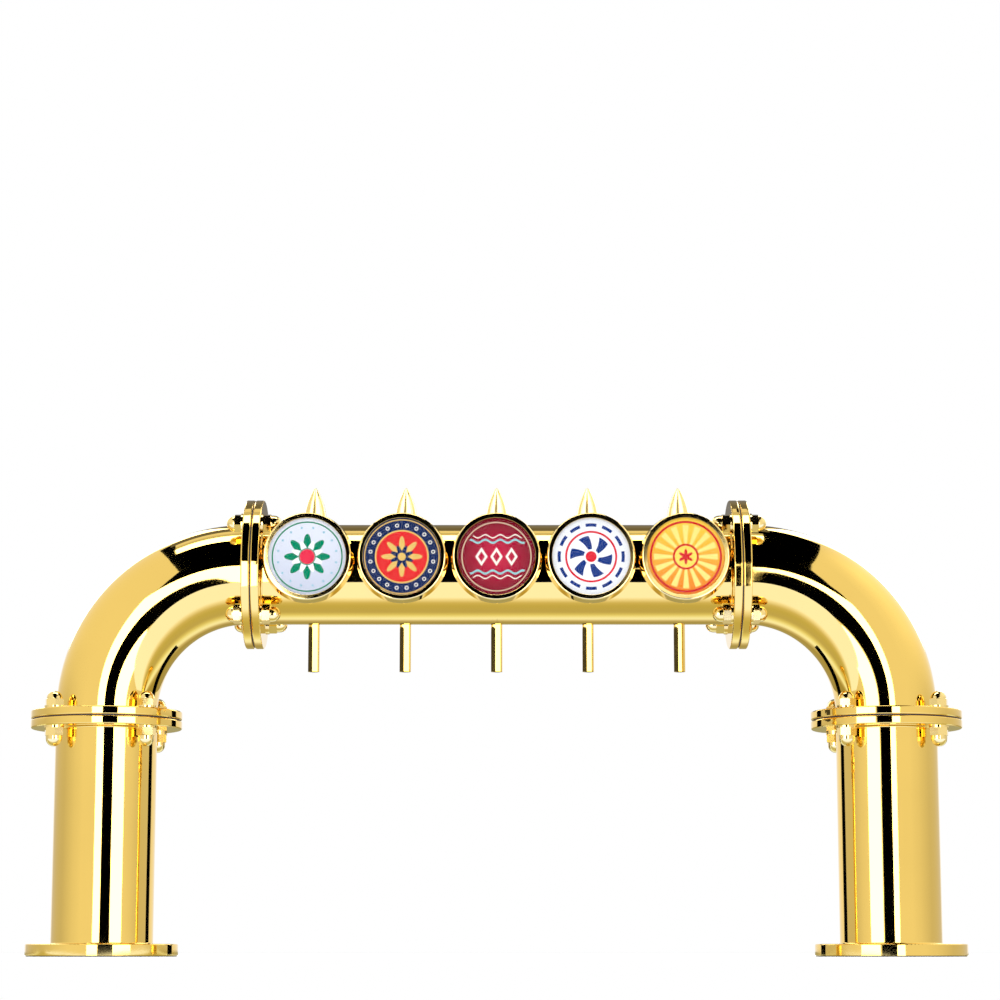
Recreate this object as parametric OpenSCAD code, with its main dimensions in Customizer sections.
// Bridge beer tower: two columns, two elbows and a beam of polished brass tube,
// joined by bolted flange pairs, with round badges in front and taps behind.
// The origin is midway between the columns on the counter. The customer stands
// at -Y and sees the badges, the taps face +Y, and +Z is up.

/* [Bridge] */
// Height of the beam's axis above the counter
beam_height = 385; // [330:1:470]
// Outside diameter of the columns, elbows and beam
tube_d = 102; // [98:1:123]
// Wall of that tube
tube_wall = 2; // [1.5:0.1:2.5]
// Radius of the elbows along the tube's axis
bend_r = 140; // [116:1:170]
// Number of taps and badges
taps = 5; // [2:1:5]

/* [Flanges] */
// How far a flange stands out from its tube
flange_rim = 25; // [23:0.5:30]
// Thickness of each flange of a bolted pair
flange_t = 8.5; // [7:0.1:12]
// Rounding of the flange edges
flange_edge = 1.5; // [0.5:0.1:2]
// Lip inside a flange that the tube's end stands on
flange_lip = 2; // [1:0.1:3]
// Gasket between the two flanges of a pair
gasket_t = 1; // [0.5:0.1:2]
// Distance from the tube to the circle of bolts
bolt_out = 14; // [13:0.5:16]
// Bolts in each flange pair
bolts = 4; // [4]

/* [Base] */
// Thickness of the base flanges
base_t = 11.5; // [9:0.1:16]
// Thickness of the rubber seal under a base flange
seal_t = 1; // [0.5:0.1:3]
// Distance from the tube to the circle of counter screws
screw_out = 12.5; // [11:0.5:15]
// Diameter of the countersunk screw holes
screw_hole_d = 8.5; // [5:0.5:9]
// Diameter of the countersinks
sink_d = 16; // [12:0.5:18]

/* [Bolts] */
// Thread diameter of the flange bolts
bolt_d = 10; // [8:0.5:10]
// Size across the flats of heads and acorn nuts
bolt_af = 17; // [15:0.5:17]
// Height of the hexagon of a bolt head
head_hex_h = 7; // [5:0.5:9]
// Height of the dome on a bolt head
head_dome_h = 7.6; // [4:0.1:8]
// Height of the hexagon of an acorn nut
nut_hex_h = 8; // [6:0.5:10]
// Straight part of an acorn nut's dome
nut_neck_h = 2.5; // [1:0.5:4]
// Thickness of the washers
washer_t = 2; // [1.5:0.1:2.5]
// Outside diameter of the washers
washer_d = 20; // [18:0.5:21]

/* [Badges] */
// Largest diameter of the bezel ring
bezel_d = 91.5; // [76:0.5:110]
// Gap between two neighbouring bezels
badge_gap = 3; // [2:0.5:20]
// Gap between the end bezels and the beam flanges
end_gap = 2.25; // [1:0.25:10]
// How much the bezel widens behind its lip
bezel_flare = 4; // [3:0.5:6]
// Width of the bezel's flat lip, round the print
bezel_lip_w = 3.3; // [3:0.1:6]
// How far the bezel stands out in front of the beam
badge_out = 22; // [20:0.5:30]
// Length of the bezel ring
bezel_len = 16.5; // [14:0.5:18]
// Height of the badges above the beam's axis
badge_rise = 9; // [0:0.5:10]
// How far a cup reaches back round the beam
cup_wrap = 15; // [10:0.5:20]
// Wall of a cup
cup_wall = 2.5; // [1.5:0.1:3]
// Thickness of the clear lens
lens_t = 2; // [1:0.1:3]
// Thickness of the printed disc
print_t = 0.8; // [0.5:0.1:1.5]
// Air between the lens and the print
lens_gap = 0.15; // [0.1:0.05:0.5]
// Room between the end cups and the acorn nuts beside them
cup_nut_gap = 0.85; // [0.5:0.05:3]

/* [Taps] */
// How much further apart the taps stand than the badges
tap_spread = 2; // [0:0.5:4]
// How far the spouts and levers stand behind the beam
tap_out = 54; // [52:1:64]
// Thread diameter of a tap's shank
shank_d = 22; // [20:0.5:24]
// Beer passage through a shank
shank_bore = 8; // [6:0.5:9]
// Outside diameter of a spout
spout_d = 12; // [11:0.5:13]
// Bore of a spout
spout_bore = 9; // [7:0.5:9]
// How far the spouts end below the beam's axis
spout_drop = 89; // [60:1:130]
// Passage in a tap body, round the valve rod
tap_bore = 11.6; // [11:0.1:12.4]
// Height of a lever's ball above the valve rod
pivot_rise = 15; // [14.5:0.1:16]
// Diameter of a lever's ball
ball_d = 13; // [12:0.1:13.4]
// How far a lever swings from closed to open
lever_swing = 30; // [20:1:30]
// Height of the handle tips above the beam's axis
handle_top = 107; // [95:1:130]
// Largest diameter of a handle
handle_d = 24; // [20:0.5:28]

/* [Lines] */
// Outside diameter of the beer lines and the cooling pipe
line_d = 9.5; // [8:0.25:9.5]
// Wall of the beer lines
line_wall = 1.25; // [1:0.05:1.5]
// Wall of the cooling pipe
pipe_wall = 0.8; // [0.6:0.1:1.2]
// Tightest bend of a line, along its axis
line_bend = 14.5; // [14:0.25:15]
// Distance between neighbouring lines
line_pitch = 12; // [11.5:0.25:12.5]

/* [Fits] */
// Gap round a tube end in its flange
seat_fit = 0.15; // [0.1:0.05:0.3]
// Gap between a saddle and the beam
saddle_fit = 0.2; // [0.15:0.05:0.3]
// Gap of a thread in its nut
thread_fit = 0.2; // [0.15:0.05:0.3]
// Gap round a bolt in its hole
hole_fit = 0.5; // [0.3:0.05:0.6]
// Running gap round a valve rod in its guide
rod_fit = 0.07; // [0.05:0.01:0.1]
// Gap round a lever's ball
ball_fit = 0.3; // [0.2:0.05:0.35]

/* [Hidden] */
$fn = 96;
arc_facets = 720;
sliver = 0.01;

// Radii of the tube and its bore
tube_r = tube_d / 2;
bore_r = tube_r - tube_wall;
flange_r = tube_r + flange_rim;
bolt_circle_r = tube_r + bolt_out;
screw_circle_r = tube_r + screw_out;

// A bolted pair, from its middle plane outwards
pair_half = flange_t + gasket_t / 2;
head_z = pair_half + washer_t;
bolt_end = head_z + nut_hex_h + nut_neck_h + 0.5;
nut_dome_r = bolt_af / 2 - 0.5;
nut_dome_z = washer_t + nut_hex_h + nut_neck_h;

// Badges from back to front
badge_reach = tube_r + badge_out;
cup_back = tube_r - cup_wrap;
bezel_r = bezel_d / 2;
bezel_round = 1.2;
bezel_bevel = 0.5;
bezel_rim = 1.5;
view_r = bezel_r - bezel_flare - bezel_lip_w;
lip_t = 2.2;
disc_fit = 0.1;
lens_hold = 0.8;
lens_r = view_r + lens_hold;
cup_rim = 1;
cup_r = lens_r + disc_fit + cup_rim;
lens_front = badge_reach - lip_t;
print_front = lens_front - lens_t - lens_gap;
floor_front = print_front - print_t;
floor_t = 3;
badge_z = beam_height + badge_rise;

// Places along the beam
badge_pitch = bezel_d + badge_gap;
tap_pitch = badge_pitch + tap_spread;
nut_above_badge = bolt_circle_r * sin(45) - badge_rise;
end_reach = sqrt(pow(cup_r + nut_dome_r + cup_nut_gap, 2) - pow(nut_above_badge, 2));
end_room = max(ceil(2 * (nut_dome_z + end_reach)) / 2, bezel_r + end_gap);
badge_end_x = (taps - 1) / 2 * badge_pitch;
tap_end_x = (taps - 1) / 2 * tap_pitch;
beam_split_x = badge_end_x + end_room + pair_half;
column_x = beam_split_x + pair_half + bend_r;
bend_x = column_x - bend_r;
column_split_z = beam_height - bend_r - pair_half;
base_lip = 4;
seal_inset = 1;
function badge_x(i) = i * badge_pitch - badge_end_x;
function tap_x(i) = i * tap_pitch - tap_end_x;

// Badge fixing
stud_r = 4;
stud_head_r = 7;
stud_head_t = 2;
badge_boss_r = 9;
badge_nut_af = 13;
badge_nut_h = 6.5;
badge_seat = bore_r - 5;
stud_end = badge_seat - badge_nut_h - 1.5;

// Tap fixing, as distances from the beam's axis
tap_reach = tube_r + tap_out;
spout_end_z = beam_height - spout_drop;
shank_r = shank_d / 2;
saddle_r = shank_r + 6;
inner_seat = bore_r - 7;
locknut_t = 8;
locknut_af = shank_d + 8;
tail_step = inner_seat - locknut_t - 2;
tail_end = tail_step - 6;
tail_r = 7;
outer_seat = tube_r + 7;
shank_flange_t = 4;
valve_seat = outer_seat + 12;
chamber_r = shank_r - 3;
chamber_back = valve_seat - 14;
coupling_r = shank_r + 5;
coupling_back = outer_seat + shank_flange_t + 2;
shoulder_t = 3.8;
coupling_lip_t = 3.2;
shoulder_r = shank_r - 0.2;
tap_neck_r = shank_r - 1.8;
neck_fit = 0.3;
coupling_flutes = 6;
coupling_flute_r = 2.5;
coupling_flute_in = 1.5;

// Tap body
tap_bore_r = tap_bore / 2;
barrel_r = tap_bore_r + 3.8;
barrel_back = valve_seat + 10;
barrel_nose = tap_reach + 28;
upright_r = barrel_r + 0.4;
upright_top = pivot_rise + 4;
rod_r = 3;
rod_guide_back = tap_reach + 12;
rod_end = tap_reach + 24.5;
rod_guide_end = rod_end + 0.5;
spout_r = spout_d / 2;
spout_boss_r = spout_r + 2.5;
spout_top = -14;
spout_boss_end = -20;
spigot_r = spout_r - 0.25;
spigot_show = 0.5;
finger_room = 0.9;

// Valve rod
valve_washer_r = tap_bore_r + 1.5;
valve_washer_t = 3.5;
valve_disc_r = 5;
valve_disc_t = 2.5;
yoke_r = 5;
yoke_half = 9;
yoke_flat = 2.5;
yoke_flat_half = 6;
wing_back = tap_reach - 25;
wing_len = 10;
wing_t = 1.6;

// Lever and handle, as heights above the ball's centre
ball_r = ball_d / 2;
finger_r = 1.8;
finger_ball_r = 2.4;
yoke_slot = finger_ball_r + 0.4;
stem_r = 3;
ferrule_h = pivot_rise - 0.5;
ferrule_r = 4.6;
handle_base = ferrule_h + 1.5;
handle_thread = 14;
stud_gap = 0.1;
washer_ring_t = 2;
bonnet_r = upright_r + 2;
bonnet_bottom = pivot_rise - 3;
bonnet_top_t = 3;
bonnet_round = 2.5;
bonnet_flutes = 8;
bonnet_flute_r = 1.8;
bonnet_flute_in = 0.6;
stem_room = 0.5;

// Handle outline: a tangent ogive above, a slender swell below
handle_r = handle_d / 2;
handle_len = handle_top - pivot_rise - handle_base;
ogive_len = 40;
tip_cut = 1.5;
tip_r = 2.2;
belly_h = handle_len + tip_cut - ogive_len;
handle_foot_r = 6;
foot_ring_r = handle_foot_r + 1;
foot_ring_h = 3.5;
ogive_r = (handle_r * handle_r + ogive_len * ogive_len) / (2 * handle_r);
swell = handle_r - handle_foot_r;
swell_r = (swell * swell + belly_h * belly_h) / (2 * swell);

// Lines inside the tubes
line_r = line_d / 2;
line_drop = 2 * line_bend;
line_socket = 6;
socket_fit = 0.25;
first_slot = tail_end - line_bend - 1.5;
line_end_z = seal_t;
clip_t = 6;
clip_h = line_d + 3.5;
clip_fit = 0.2;
clip_column_z = [60, 150];
function line_slot(i) = first_slot - line_pitch * min(i, taps - 1 - i);
pipe_slot = first_slot - line_pitch * ceil(taps / 2);
function goes_left(i) = i < taps / 2;
function side_taps(left) = [for (i = [0 : taps - 1]) if (goes_left(i) == left) i];

// Colours
brass = [0.88, 0.7, 0.3];
dark_brass = [0.72, 0.56, 0.24];
rubber = [0.12, 0.12, 0.12];
steel = [0.75, 0.76, 0.78];
copper = [0.78, 0.46, 0.3];
clear = [0.85, 0.93, 0.98, 0.4];
hose = [0.9, 0.9, 0.86];
nylon = [0.2, 0.22, 0.25];
print_colours = [[0.84, 0.86, 0.9], [0.1, 0.16, 0.36], [0.6, 0.05, 0.12],
                 [0.97, 0.97, 0.97], [0.96, 0.62, 0.14]];

// Places that several pieces share
module mirrored(left) {
    if (left) mirror([1, 0, 0]) children();
    else children();
}

module both_sides() {
    for (left = [true, false]) mirrored(left) children();
}

// The middle of the pair on top of a column; +Z points into the elbow
module column_joint() {
    translate([column_x, 0, column_split_z]) children();
}

// The middle of the pair at a beam end; +Z points into the elbow
module beam_joint() {
    translate([beam_split_x, 0, beam_height]) rotate([0, 90, 0]) children();
}

module every_joint() {
    both_sides() {
        column_joint() children();
        beam_joint() children();
    }
}

module round_bolts(count, circle_r) {
    for (k = [0 : count - 1])
        rotate([0, 0, 45 + k * 360 / count]) translate([circle_r, 0, 0]) children();
}

// The centre of badge i on the beam's front, with +Z towards the customer
module at_badge(i) {
    translate([badge_x(i), 0, badge_z]) rotate([90, 0, 0]) children();
}

module at_tap(i) {
    translate([tap_x(i), 0, beam_height]) children();
}

// The centre of lever ball i
module at_pivot(i) {
    at_tap(i) translate([0, tap_reach, pivot_rise]) children();
}

// A bar along Y from y0 to y1
module y_bar(r, y0, y1) {
    translate([0, y0, 0]) rotate([-90, 0, 0]) cylinder(r = r, h = y1 - y0);
}

// Anything turned about Y: the profile's X is the radius and its Y the place along Y
module y_turned() {
    rotate([-90, 0, 0]) rotate_extrude() children();
}

module hexagon(af, h) {
    cylinder(r = af / sqrt(3), h = h, $fn = 6);
}

// A hexagon with its outer corners turned off at the top
module turned_hexagon(af, h) {
    chamfer = af / sqrt(3) - af / 2;
    intersection() {
        hexagon(af, h);
        union() {
            cylinder(r = af / sqrt(3) + 0.1, h = h - chamfer / 2);
            translate([0, 0, h - chamfer / 2])
                cylinder(r1 = af / sqrt(3) + 0.1, r2 = af / 2 - 0.1, h = chamfer / 2);
        }
    }
}

module ring(r_out, r_in, h) {
    difference() {
        cylinder(r = r_out, h = h);
        translate([0, 0, -1]) cylinder(r = r_in, h = h + 2);
    }
}

// A disc outline from radius 0 with both rim corners rounded
module rounded_disc_profile(r, t, edge) {
    square([r - edge, t]);
    translate([0, edge]) square([r, t - 2 * edge]);
    translate([r - edge, edge]) circle(r = edge);
    translate([r - edge, t - edge]) circle(r = edge);
}

// Tubes and flanges

// One flange of a pair: its mating face is at z = 0, its tube comes from +Z
module pipe_flange() {
    difference() {
        rotate_extrude() rounded_disc_profile(flange_r, flange_t, flange_edge);
        translate([0, 0, -1]) cylinder(r = bore_r, h = flange_t + 2);
        translate([0, 0, flange_lip]) cylinder(r = tube_r + seat_fit, h = flange_t);
        round_bolts(bolts, bolt_circle_r)
            translate([0, 0, -1]) cylinder(r = bolt_d / 2 + hole_fit, h = flange_t + 2);
    }
}

module elbow_side_flange() {
    color(brass) translate([0, 0, gasket_t / 2]) pipe_flange();
}

module tube_side_flange() {
    color(brass) mirror([0, 0, 1]) translate([0, 0, gasket_t / 2]) pipe_flange();
}

module flange_gaskets() {
    gasket_r = flange_r - flange_edge;
    color(rubber) every_joint() translate([0, 0, -gasket_t / 2]) difference() {
        ring(gasket_r, bore_r, gasket_t);
        round_bolts(bolts, bolt_circle_r)
            translate([0, 0, -1]) cylinder(r = bolt_d / 2 + hole_fit, h = gasket_t + 2);
    }
}

module base_flange(left) {
    sink_h = (sink_d - screw_hole_d) / 2;
    color(brass) mirrored(left) translate([column_x, 0, seal_t]) difference() {
        rotate_extrude() union() {
            square([flange_r, base_t - flange_edge]);
            square([flange_r - flange_edge, base_t]);
            translate([flange_r - flange_edge, base_t - flange_edge])
                circle(r = flange_edge);
        }
        translate([0, 0, -1]) cylinder(r = bore_r, h = base_t + 2);
        translate([0, 0, base_lip]) cylinder(r = tube_r + seat_fit, h = base_t);
        round_bolts(bolts, screw_circle_r) {
            translate([0, 0, -1]) cylinder(d = screw_hole_d, h = base_t + 2);
            translate([0, 0, base_t - sink_h])
                cylinder(d1 = screw_hole_d, d2 = sink_d, h = sink_h);
            translate([0, 0, base_t - sliver]) cylinder(d = sink_d, h = 1);
        }
    }
}

module base_seals() {
    seal_r = flange_r - seal_inset;
    color(rubber) both_sides() translate([column_x, 0, 0]) difference() {
        ring(seal_r, bore_r, seal_t);
        round_bolts(bolts, screw_circle_r)
            translate([0, 0, -1]) cylinder(d = screw_hole_d, h = seal_t + 2);
    }
}

module column(left) {
    foot = seal_t + base_lip;
    head = column_split_z - gasket_t / 2 - flange_lip;
    color(brass) mirrored(left) translate([column_x, 0, foot])
        rotate([0, 0, 90]) ring(tube_r, bore_r, head - foot);
}

module elbow(left) {
    straight = flange_t - flange_lip;
    color(brass) mirrored(left) translate([bend_x, 0, beam_height - bend_r]) {
        rotate([90, 0, 0]) rotate_extrude(angle = 90) translate([bend_r, 0])
            difference() {
                circle(r = tube_r);
                circle(r = bore_r);
            }
        translate([bend_r, 0, -straight]) ring(tube_r, bore_r, straight);
        translate([-straight, 0, bend_r]) rotate([0, 90, 0]) ring(tube_r, bore_r, straight);
    }
}

module beam() {
    half = beam_split_x - gasket_t / 2 - flange_lip;
    color(brass) difference() {
        translate([-half, 0, beam_height]) rotate([0, 90, 0]) rotate([0, 0, 90])
            ring(tube_r, bore_r, 2 * half);
        for (i = [0 : taps - 1]) {
            at_tap(i) y_bar(shank_r + hole_fit, 0, tube_r + 5);
            at_badge(i) cylinder(r = stud_r + hole_fit, h = tube_r + 5);
        }
    }
}

// Fasteners of the flange pairs

module flange_bolts() {
    color(brass) every_joint() round_bolts(bolts, bolt_circle_r) {
        translate([0, 0, -bolt_end]) cylinder(d = bolt_d, h = bolt_end + head_z + 1);
        translate([0, 0, head_z]) {
            turned_hexagon(bolt_af, head_hex_h);
            translate([0, 0, head_hex_h]) intersection() {
                sphere(r = nut_dome_r);
                translate([0, 0, -1]) cylinder(r = bolt_af, h = head_dome_h + 1);
            }
        }
    }
}

module flange_nuts() {
    color(brass) every_joint() round_bolts(bolts, bolt_circle_r)
        mirror([0, 0, 1]) translate([0, 0, head_z]) difference() {
            union() {
                turned_hexagon(bolt_af, nut_hex_h);
                cylinder(r = nut_dome_r, h = nut_hex_h + nut_neck_h);
                translate([0, 0, nut_hex_h + nut_neck_h]) sphere(r = nut_dome_r);
            }
            translate([0, 0, -1]) cylinder(
                d = bolt_d + 2 * thread_fit, h = nut_hex_h + nut_neck_h + 2);
        }
}

module flange_washers() {
    color(brass) every_joint() round_bolts(bolts, bolt_circle_r)
        for (flip = [0, 1]) mirror([0, 0, flip]) translate([0, 0, pair_half])
            ring(washer_d / 2, bolt_d / 2 + hole_fit / 2, washer_t);
}

// Badges, drawn with the customer at +Z and the beam's axis at z = 0

module beam_shadow(r) {
    translate([-bezel_d, -badge_rise, 0]) rotate([0, 90, 0]) cylinder(r = r, h = 2 * bezel_d);
}

module badge_cups() {
    floor_back = floor_front - floor_t;
    color(brass) for (i = [0 : taps - 1]) at_badge(i) difference() {
        union() {
            difference() {
                translate([0, 0, cup_back])
                    cylinder(r = cup_r, h = lens_front - 0.5 - cup_back);
                translate([0, 0, cup_back + cup_wall])
                    cylinder(r = cup_r - cup_wall, h = floor_back - cup_back - cup_wall);
            }
            translate([0, 0, cup_back + 1])
                cylinder(r = badge_boss_r, h = floor_back - cup_back);
        }
        translate([0, 0, floor_front]) cylinder(r = lens_r + disc_fit, h = badge_reach);
        translate([0, 0, floor_front - stud_head_t])
            cylinder(r = stud_head_r + saddle_fit, h = badge_reach);
        cylinder(r = stud_r + hole_fit, h = badge_reach);
        beam_shadow(tube_r + saddle_fit);
    }
}

// A bezel's outline from radius 0: a straight rim behind, a curved flank and a rounded lip
module bezel_profile() {
    flank_len = bezel_len - bezel_rim;
    flank_r = (bezel_flare * bezel_flare + flank_len * flank_len) / (2 * bezel_flare);
    flank_x = bezel_r - flank_r;
    rise = flank_len - bezel_round;
    lip_x = flank_x + sqrt(pow(flank_r - bezel_round, 2) - rise * rise);
    flank_end = bezel_rim + rise * flank_r / (flank_r - bezel_round);
    square([bezel_r, bezel_rim]);
    square([lip_x, bezel_len]);
    translate([lip_x, bezel_rim + rise]) circle(r = bezel_round);
    intersection() {
        translate([flank_x, bezel_rim]) circle(r = flank_r, $fn = arc_facets);
        translate([0, bezel_rim - sliver]) square([bezel_r, flank_end - bezel_rim + sliver]);
    }
}

module badge_bezels() {
    color(brass) for (i = [0 : taps - 1]) at_badge(i) difference() {
        translate([0, 0, badge_reach - bezel_len]) rotate_extrude() bezel_profile();
        cylinder(r = cup_r + thread_fit, h = lens_front);
        cylinder(r = view_r, h = badge_reach + 1);
        translate([0, 0, badge_reach - bezel_bevel])
            cylinder(r1 = view_r - sliver, r2 = view_r + bezel_bevel, h = bezel_bevel + sliver);
    }
}

module badge_print(i) {
    color(print_colours[i]) at_badge(i) translate([0, 0, floor_front])
        cylinder(r = lens_r - disc_fit, h = print_t);
}

module badge_lenses() {
    color(clear) for (i = [0 : taps - 1]) at_badge(i) translate([0, 0, lens_front - lens_t])
        cylinder(r = lens_r, h = lens_t);
}

module badge_studs() {
    color(steel) for (i = [0 : taps - 1]) at_badge(i) {
        translate([0, 0, stud_end])
            cylinder(r = stud_r, h = floor_front - stud_head_t - stud_end);
        translate([0, 0, floor_front - stud_head_t])
            cylinder(r = stud_head_r, h = stud_head_t);
    }
}

module badge_nuts() {
    color(steel) for (i = [0 : taps - 1]) at_badge(i)
        translate([0, 0, badge_seat - badge_nut_h]) difference() {
            hexagon(badge_nut_af, badge_nut_h);
            translate([0, 0, -1]) cylinder(r = stud_r + thread_fit, h = badge_nut_h + 2);
        }
}

// Saddles fill the space between the round beam and the flat faces of nuts and flanges
module tube_saddles() {
    color(dark_brass) for (i = [0 : taps - 1]) {
        at_tap(i) difference() {
            y_bar(saddle_r, 0, outer_seat);
            y_bar(shank_r + hole_fit, -1, outer_seat + 1);
            translate([-saddle_r - 1, 0, 0]) rotate([0, 90, 0])
                cylinder(r = tube_r + saddle_fit, h = 2 * saddle_r + 2);
        }
        at_tap(i) intersection() {
            difference() {
                y_bar(saddle_r, inner_seat, tube_r);
                y_bar(shank_r + hole_fit, 0, tube_r + 1);
            }
            translate([-saddle_r - 1, 0, 0]) rotate([0, 90, 0])
                cylinder(r = bore_r - saddle_fit, h = 2 * saddle_r + 2);
        }
        at_badge(i) intersection() {
            difference() {
                translate([0, 0, badge_seat]) cylinder(r = badge_boss_r, h = tube_r);
                cylinder(r = stud_r + hole_fit, h = 2 * tube_r);
            }
            beam_shadow(bore_r - saddle_fit);
        }
    }
}

// Taps, drawn with the beam's axis at y = 0 and the valve rod's axis at z = 0

module tap_shanks() {
    color(dark_brass) for (i = [0 : taps - 1]) at_tap(i) difference() {
        union() {
            y_bar(tail_r, tail_end, tail_step + 1);
            y_bar(shank_r, tail_step, valve_seat);
            y_bar(saddle_r - 1, outer_seat, outer_seat + shank_flange_t);
        }
        y_bar(line_r + socket_fit, tail_end - 1, tail_end + line_socket);
        y_bar(shank_bore / 2, tail_end, valve_seat);
        y_bar(chamber_r, chamber_back, valve_seat + 1);
    }
}

module shank_locknuts() {
    color(dark_brass) for (i = [0 : taps - 1]) at_tap(i) difference() {
        translate([0, inner_seat, 0]) rotate([90, 0, 0]) turned_hexagon(locknut_af, locknut_t);
        y_bar(shank_r + thread_fit, inner_seat - locknut_t - 1, inner_seat + 1);
    }
}

module coupling_nuts() {
    back = coupling_back;
    lip = valve_seat + shoulder_t;
    front = lip + coupling_lip_t;
    color(brass) for (i = [0 : taps - 1]) at_tap(i) difference() {
        translate([0, back, 0]) y_turned()
            rounded_disc_profile(coupling_r, front - back, 1);
        y_bar(shank_r + thread_fit, back - 1, lip);
        y_bar(tap_neck_r + neck_fit, lip - 1, front + 1);
        for (k = [0 : coupling_flutes - 1]) rotate([0, k * 360 / coupling_flutes, 0])
            translate([coupling_r + coupling_flute_r - coupling_flute_in, 0, 0])
                y_bar(coupling_flute_r, back - 1, front + 1);
    }
}

module tap_body(i) {
    slot_half = finger_r + finger_room;
    slot_back = (pivot_rise - tap_bore_r) * tan(lever_swing) + slot_half;
    color(brass) at_tap(i) difference() {
        union() {
            y_turned() union() {
                translate([0, valve_seat]) square([shoulder_r, shoulder_t]);
                translate([0, valve_seat]) square([tap_neck_r, barrel_back - valve_seat + 1]);
                translate([0, barrel_back]) square([barrel_r, barrel_nose - barrel_r - barrel_back]);
                translate([0, barrel_nose - barrel_r]) intersection() {
                    circle(r = barrel_r);
                    square(barrel_r);
                }
            }
            translate([0, tap_reach, 0]) cylinder(r = upright_r, h = upright_top);
            translate([0, tap_reach, spout_boss_end]) cylinder(r = spout_boss_r, h = -spout_boss_end);
        }
        y_bar(tap_bore_r, valve_seat - 1, rod_guide_back);
        y_bar(rod_r + rod_fit, rod_guide_back - 1, rod_guide_end);
        translate([0, tap_reach, 0]) {
            translate([0, 0, pivot_rise]) sphere(r = ball_r + ball_fit);
            translate([0, 0, pivot_rise]) cylinder(r = ball_r + ball_fit, h = upright_top);
            translate([-slot_half, -slot_back, 0])
                cube([2 * slot_half, slot_back + slot_half, pivot_rise]);
            translate([0, 0, spout_top - 1]) cylinder(d = spout_bore, h = 1 - spout_top);
            translate([0, 0, spout_boss_end - 1])
                cylinder(r = spigot_r + seat_fit, h = spout_top - spout_boss_end + 1);
        }
    }
}

// A spout with a turned-down end that goes into its tap body
module tap_spouts() {
    shoulder = beam_height + spout_boss_end - spigot_show;
    top = beam_height + spout_top;
    color(brass) for (i = [0 : taps - 1]) translate([tap_x(i), tap_reach, 0]) difference() {
        union() {
            translate([0, 0, spout_end_z]) cylinder(r = spout_r, h = shoulder - spout_end_z);
            translate([0, 0, spout_end_z]) cylinder(r = spigot_r, h = top - spout_end_z);
        }
        translate([0, 0, spout_end_z - 1]) cylinder(d = spout_bore, h = top - spout_end_z + 2);
    }
}

// The way that a swinging stem needs at height h above the ball's centre
module stem_slot(h) {
    way = h * tan(lever_swing) + stem_r * (1 / cos(lever_swing) - 1);
    for (y = [0, way]) translate([0, y, 0]) cylinder(r = stem_r + stem_room, h = h);
    translate([-stem_r - stem_room, 0, 0]) cube([2 * (stem_r + stem_room), way, h]);
}

module ball_washers() {
    bottom = upright_top - pivot_rise;
    top = bottom + washer_ring_t;
    cone_bottom_r = sqrt(pow(ball_r + ball_fit, 2) - pow(bottom, 2)) + 0.1;
    color(nylon) for (i = [0 : taps - 1]) at_pivot(i) difference() {
        translate([0, 0, bottom]) cylinder(r = upright_r - 0.2, h = washer_ring_t);
        translate([0, 0, bottom]) cylinder(
            r1 = cone_bottom_r, r2 = cone_bottom_r - washer_ring_t, h = washer_ring_t);
        stem_slot(top + 1);
    }
}

module tap_bonnets() {
    bottom = bonnet_bottom - pivot_rise;
    ceiling = upright_top - pivot_rise + washer_ring_t;
    top = ceiling + bonnet_top_t;
    color(brass) for (i = [0 : taps - 1]) at_pivot(i) difference() {
        translate([0, 0, bottom]) rotate_extrude() union() {
            square([bonnet_r, top - bottom - bonnet_round]);
            square([bonnet_r - bonnet_round, top - bottom]);
            translate([bonnet_r - bonnet_round, top - bottom - bonnet_round])
                circle(r = bonnet_round);
        }
        translate([0, 0, bottom - 1]) cylinder(r = upright_r + thread_fit, h = ceiling - bottom + 1);
        stem_slot(top + sliver);
        for (k = [0 : bonnet_flutes - 1]) rotate([0, 0, (k + 0.5) * 360 / bonnet_flutes])
            translate([bonnet_r + bonnet_flute_r - bonnet_flute_in, 0, bottom - 1])
                cylinder(r = bonnet_flute_r, h = ceiling - bottom + 1);
    }
}

module tap_lever(i) {
    color(steel) at_pivot(i) {
        sphere(r = ball_r);
        cylinder(r = stem_r, h = handle_base);
        translate([0, 0, ferrule_h]) cylinder(r = ferrule_r, h = handle_base - ferrule_h);
        cylinder(r = stem_r - stud_gap, h = handle_base + handle_thread);
        translate([0, 0, -pivot_rise]) cylinder(r = finger_r, h = pivot_rise);
        translate([0, 0, -pivot_rise]) sphere(r = finger_ball_r);
    }
}

module tap_handle(i) {
    color(brass) at_pivot(i) translate([0, 0, handle_base]) difference() {
        rotate_extrude() union() {
            intersection() {
                translate([handle_r - ogive_r, belly_h]) circle(r = ogive_r, $fn = arc_facets);
                translate([0, belly_h]) square([handle_r, handle_len - tip_r - belly_h]);
            }
            intersection() {
                translate([0, handle_len - tip_r]) circle(r = tip_r);
                translate([0, belly_h]) square([handle_r, ogive_len]);
            }
            intersection() {
                translate([handle_r - swell_r, belly_h]) circle(r = swell_r, $fn = arc_facets);
                square([handle_r, belly_h]);
            }
            square([foot_ring_r, foot_ring_h]);
        }
        translate([0, 0, -1]) cylinder(r = stem_r + stud_gap, h = handle_thread + 2);
    }
}

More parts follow.
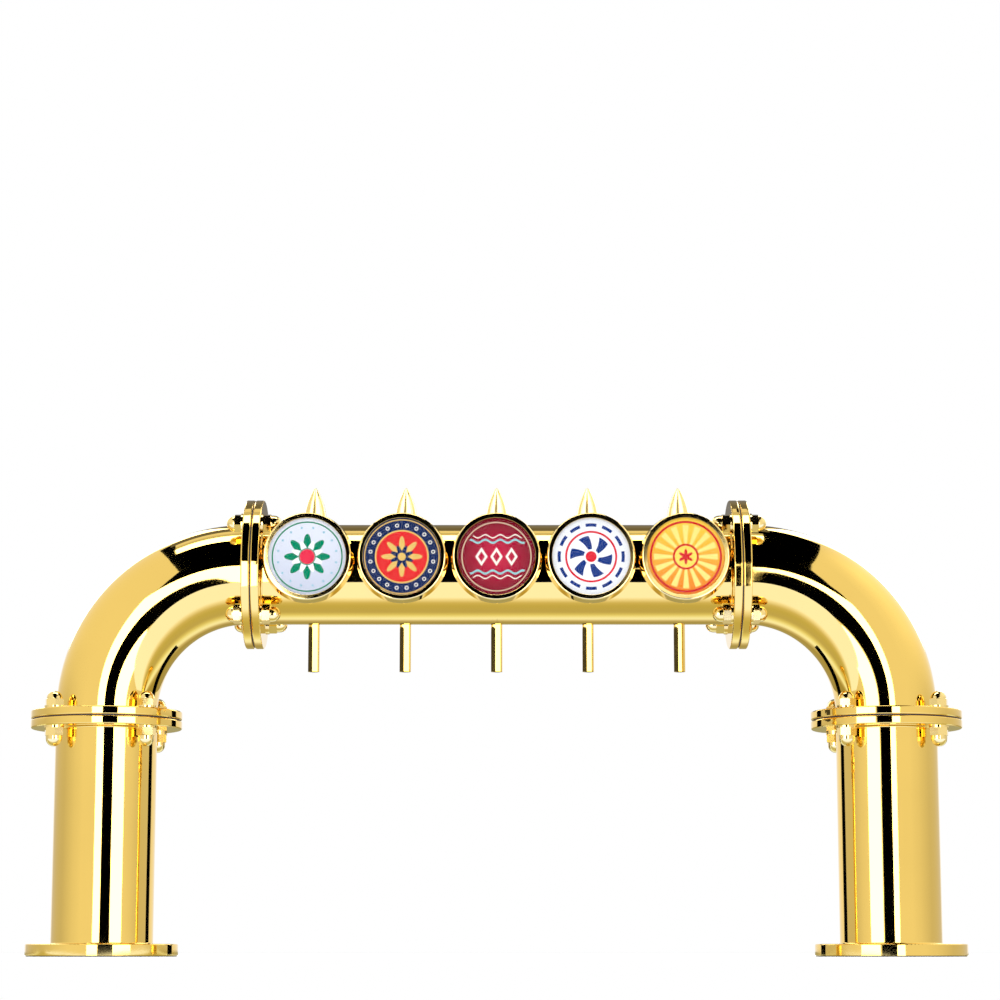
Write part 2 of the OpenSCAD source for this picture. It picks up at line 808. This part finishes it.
module tap_valve(i) {
    yoke_y = tap_reach;
    washer_back = valve_seat - valve_washer_t;
    wing_reach = sqrt(pow(tap_bore_r, 2) - pow(wing_t / 2, 2)) - 2 * rod_fit;
    color(steel) at_tap(i) {
        difference() {
            union() {
                y_bar(rod_r, washer_back - valve_disc_t, rod_end);
                y_bar(yoke_r, yoke_y - yoke_half, yoke_y + yoke_half);
                y_bar(valve_disc_r, washer_back - valve_disc_t, washer_back);
                for (a = [0, 120, 240]) rotate([0, a, 0])
                    translate([0, wing_back, -wing_t / 2])
                        cube([wing_reach, wing_len, wing_t]);
            }
            translate([-yoke_r, yoke_y - yoke_flat_half, yoke_flat])
                cube([2 * yoke_r, 2 * yoke_flat_half, yoke_r]);
            translate([-yoke_slot, yoke_y - yoke_slot, -yoke_r])
                cube([2 * yoke_slot, 2 * yoke_slot, 2 * yoke_r]);
        }
    }
    color(rubber) at_tap(i) difference() {
        y_bar(valve_washer_r, washer_back + rod_fit, valve_seat);
        y_bar(rod_r + thread_fit, washer_back - 1, valve_seat + 1);
    }
}

// Lines inside the tubes, drawn for the right side with the beam's axis at z = 0

// From x0 along the beam, round the elbow and down the column
module bundle_run(x0, y, r, spare) {
    elbow_r = bend_r - line_drop;
    foot = line_end_z - beam_height;
    translate([0, y, 0]) {
        translate([x0, 0, -line_drop]) rotate([0, 90, 0]) cylinder(r = r, h = bend_x - x0);
        translate([bend_x, 0, -bend_r]) rotate([90, 0, 0])
            rotate_extrude(angle = 90) translate([elbow_r, 0]) circle(r = r);
        translate([bend_x + elbow_r, 0, foot - spare])
            cylinder(r = r, h = -bend_r - foot + spare);
    }
}

// From the shank's tail back, down and along the beam
module line_path(i, r, spare) {
    x0 = abs(tap_x(i));
    y = line_slot(i);
    turn_y = y + line_bend;
    translate([x0, 0, 0]) y_bar(r, turn_y, tail_end + line_socket + spare);
    translate([x0, turn_y, -line_bend]) rotate([90, 0, -90])
        rotate_extrude(angle = 90) translate([line_bend, 0]) circle(r = r);
    translate([x0 + line_bend, y, -line_bend]) rotate([90, 0, 0]) rotate([0, 0, 180])
        rotate_extrude(angle = 90) translate([line_bend, 0]) circle(r = r);
    bundle_run(x0 + line_bend, y, r, spare);
}

module beer_lines() {
    color(hose) for (i = [0 : taps - 1])
        mirrored(goes_left(i)) translate([0, 0, beam_height]) difference() {
            line_path(i, line_r, 0);
            line_path(i, line_r - line_wall, 1);
        }
}

module cooling_pipe() {
    color(copper) translate([0, 0, beam_height]) difference() {
        both_sides() bundle_run(0, pipe_slot, line_r, 0);
        both_sides() bundle_run(0, pipe_slot, line_r - pipe_wall, 1);
    }
}

// A flat clip with one hole for each line at the given places along Y
module clip(slots) {
    low = min(slots);
    high = max(slots);
    linear_extrude(clip_t, center = true) difference() {
        union() {
            translate([-clip_h / 2, low]) square([clip_h, high - low]);
            for (y = [low, high]) translate([0, y]) circle(d = clip_h);
        }
        for (y = slots) translate([0, y]) circle(r = line_r + clip_fit);
    }
}

module line_clips() {
    color(nylon) for (left = [true, false]) mirrored(left) {
        mine = side_taps(left);
        slots = concat([for (i = mine) line_slot(i)], [pipe_slot]);
        for (z = clip_column_z) translate([column_x - line_drop, 0, z]) clip(slots);
        for (k = mine) {
            x = abs(tap_x(k)) + tap_pitch / 2;
            inner = [for (i = mine) if (abs(tap_x(i)) < x) line_slot(i)];
            if (x < beam_split_x) translate([x, 0, beam_height - line_drop])
                rotate([0, 90, 0]) clip(concat(inner, [pipe_slot]));
        }
    }
}

base_flange(true);  // left_base_flange
base_flange(false);  // right_base_flange
base_seals();
column(true);  // left_column
column(false);  // right_column
mirrored(true) column_joint() tube_side_flange();  // left_column_flange
column_joint() tube_side_flange();  // right_column_flange
mirrored(true) column_joint() elbow_side_flange();  // left_elbow_lower_flange
column_joint() elbow_side_flange();  // right_elbow_lower_flange
elbow(true);  // left_elbow
elbow(false);  // right_elbow
mirrored(true) beam_joint() elbow_side_flange();  // left_elbow_upper_flange
beam_joint() elbow_side_flange();  // right_elbow_upper_flange
mirrored(true) beam_joint() tube_side_flange();  // left_beam_flange
beam_joint() tube_side_flange();  // right_beam_flange
beam();
flange_gaskets();
flange_bolts();
flange_nuts();
flange_washers();
badge_cups();
badge_bezels();
badge_lenses();
badge_studs();
badge_nuts();
tube_saddles();
tap_shanks();
shank_locknuts();
coupling_nuts();
tap_spouts();
tap_bonnets();
ball_washers();
beer_lines();
cooling_pipe();
line_clips();
for (i = [0 : taps - 1]) {
    badge_print(i);
    tap_body(i);
    tap_lever(i);
    tap_handle(i);
    tap_valve(i);
}
